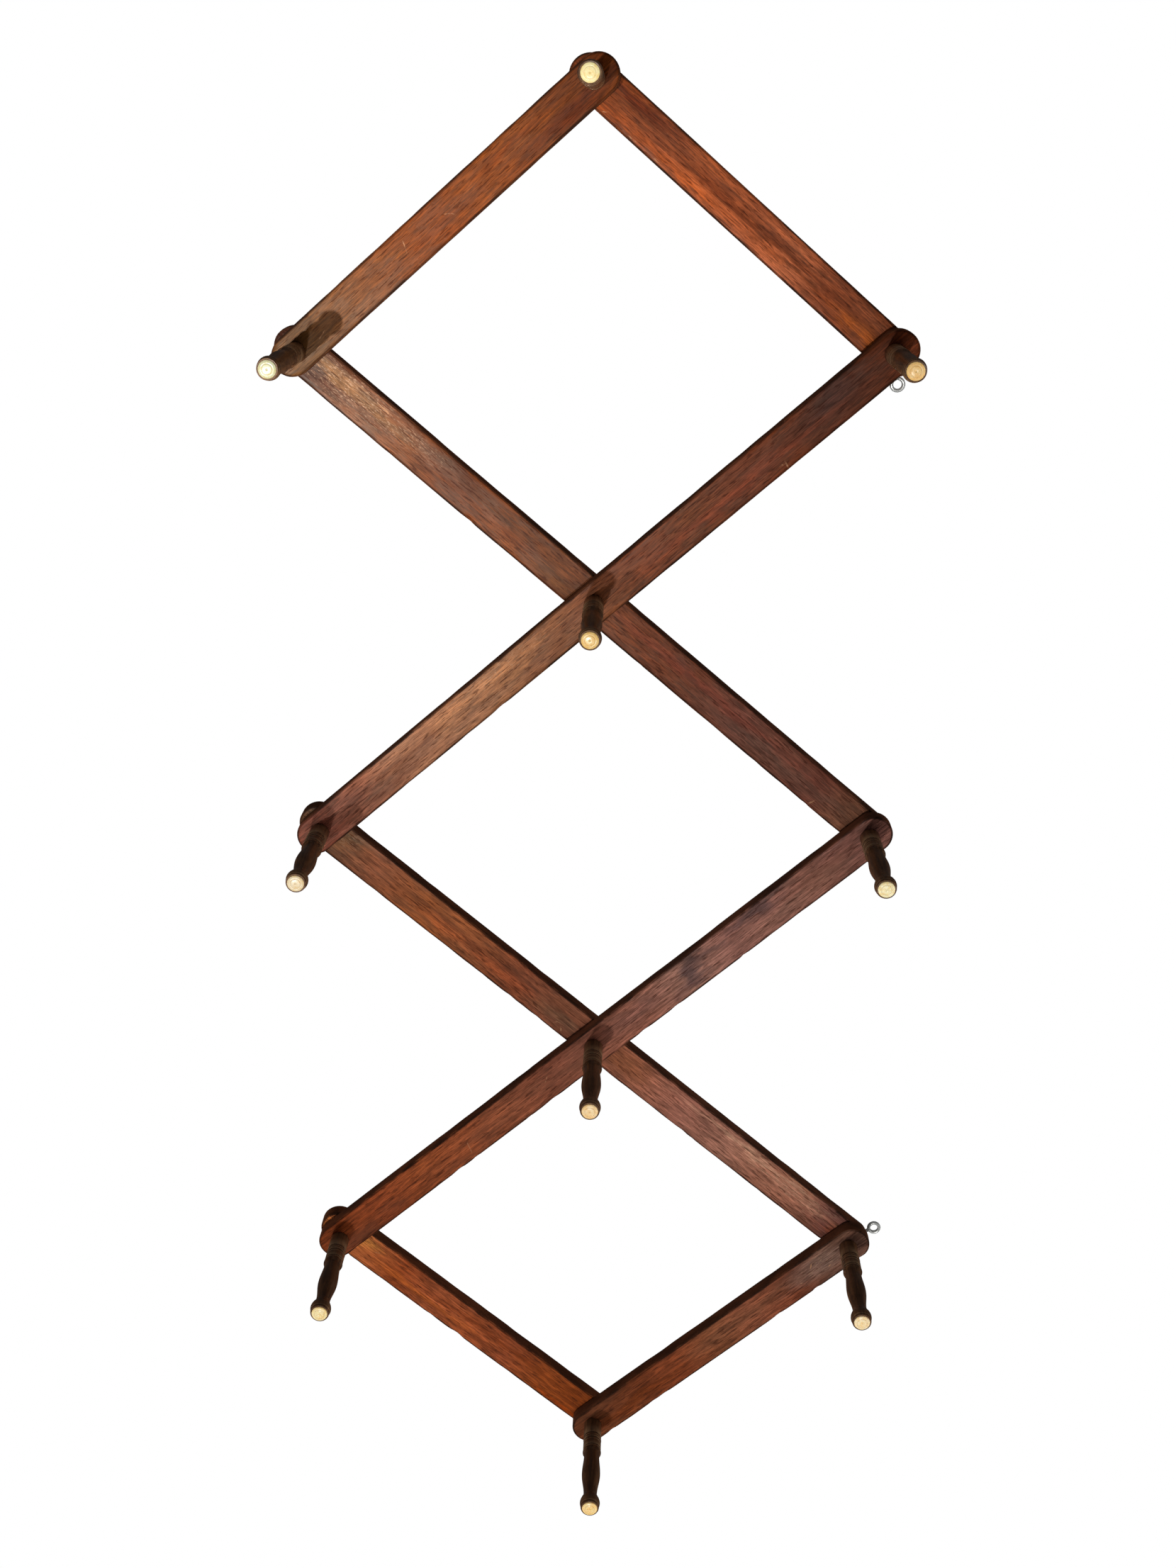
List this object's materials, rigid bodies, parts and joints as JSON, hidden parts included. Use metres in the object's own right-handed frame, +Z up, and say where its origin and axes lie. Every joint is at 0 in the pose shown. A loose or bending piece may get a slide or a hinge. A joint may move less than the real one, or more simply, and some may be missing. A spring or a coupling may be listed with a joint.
{
  "type": "accordion wall rack",
  "caption": "Expanding lattice wall rack of flat stained slats pinned in diamonds, with a turned dark peg and ivory button on each pivot and small eyes to hang it by.",
  "frame": {"origin": "centre of the hole in the upper hanging eye, halfway through the rear layer of slats", "axes": "+Z up, +X to the right seen from the front, +Y into the wall"},
  "size_m": [0.3539, 0.0985, 0.846],
  "materials": {
    "slat_wood": "satin varnish over reddish brown stain",
    "peg_wood": "satin dark stain",
    "button_ivory": "polished ivory colour",
    "eye_steel": "bright plated wire",
    "fastener_steel": "dull plated steel"
  },
  "bodies": {
    "rear_top": {"rear_slat_top": "slat_wood", "hanging_eye_top": "eye_steel"},
    "rear_upper": {"rear_slat_upper": "slat_wood"},
    "rear_lower": {"rear_slat_lower": "slat_wood", "hanging_eye_bottom": "eye_steel"},
    "rear_bottom": {"rear_slat_bottom": "slat_wood"},
    "front_top": {"front_slat_top": "slat_wood", "peg_left_top": "peg_wood", "peg_apex": "peg_wood", "button_left_top": "button_ivory", "button_apex": "button_ivory", "washers_top": "fastener_steel", "screws_top": "fastener_steel"},
    "front_upper": {"front_slat_upper": "slat_wood", "peg_left_middle": "peg_wood", "peg_centre_upper": "peg_wood", "peg_right_top": "peg_wood", "button_left_middle": "button_ivory", "button_centre_upper": "button_ivory", "button_right_top": "button_ivory", "washers_upper": "fastener_steel", "screws_upper": "fastener_steel"},
    "front_lower": {"front_slat_lower": "slat_wood", "peg_left_bottom": "peg_wood", "peg_centre_lower": "peg_wood", "peg_right_middle": "peg_wood", "button_left_bottom": "button_ivory", "button_centre_lower": "button_ivory", "button_right_middle": "button_ivory", "washers_lower": "fastener_steel", "screws_lower": "fastener_steel"},
    "front_bottom": {"front_slat_bottom": "slat_wood", "peg_base": "peg_wood", "peg_right_bottom": "peg_wood", "button_base": "button_ivory", "button_right_bottom": "button_ivory", "washers_bottom": "fastener_steel", "screws_bottom": "fastener_steel"}
  },
  "joints": [
    {"name": "fold", "type": "hinge", "parent": "rear_top", "child": "front_upper", "pos_m": [-0.00389, 0, 0.01732], "axis": [0, -1, 0], "range_deg": [-72, 88]},
    {"name": "pivot_centre_upper", "type": "hinge", "parent": "front_upper", "child": "rear_upper", "pos_m": [-0.16334, 0, -0.11935], "axis": [0, -1, 0], "range_deg": [-88, 72]},
    {"name": "pivot_left_middle", "type": "hinge", "parent": "front_upper", "child": "rear_lower", "pos_m": [-0.32279, 0, -0.25601], "axis": [0, -1, 0], "range_deg": [-88, 72]},
    {"name": "pivot_left_top", "type": "hinge", "parent": "rear_upper", "child": "front_top", "pos_m": [-0.32279, 0, 0.01732], "axis": [0, -1, 0], "range_deg": [-72, 88]},
    {"name": "pivot_centre_lower", "type": "hinge", "parent": "rear_lower", "child": "front_lower", "pos_m": [-0.16334, 0, -0.39267], "axis": [0, -1, 0], "range_deg": [-72, 88]},
    {"name": "pivot_right_bottom", "type": "hinge", "parent": "rear_lower", "child": "front_bottom", "pos_m": [-0.00389, 0, -0.52933], "axis": [0, -1, 0], "range_deg": [-72, 88]},
    {"name": "pivot_left_bottom", "type": "hinge", "parent": "front_lower", "child": "rear_bottom", "pos_m": [-0.32279, 0, -0.52933], "axis": [0, -1, 0], "range_deg": [-88, 72]}
  ],
  "couplings": [
    {"joint": "pivot_centre_upper", "follows": "fold", "ratio": -1},
    {"joint": "pivot_left_middle", "follows": "fold", "ratio": -1},
    {"joint": "pivot_left_top", "follows": "fold", "ratio": 1},
    {"joint": "pivot_centre_lower", "follows": "fold", "ratio": 1},
    {"joint": "pivot_right_bottom", "follows": "fold", "ratio": 1},
    {"joint": "pivot_left_bottom", "follows": "fold", "ratio": -1}
  ]
}
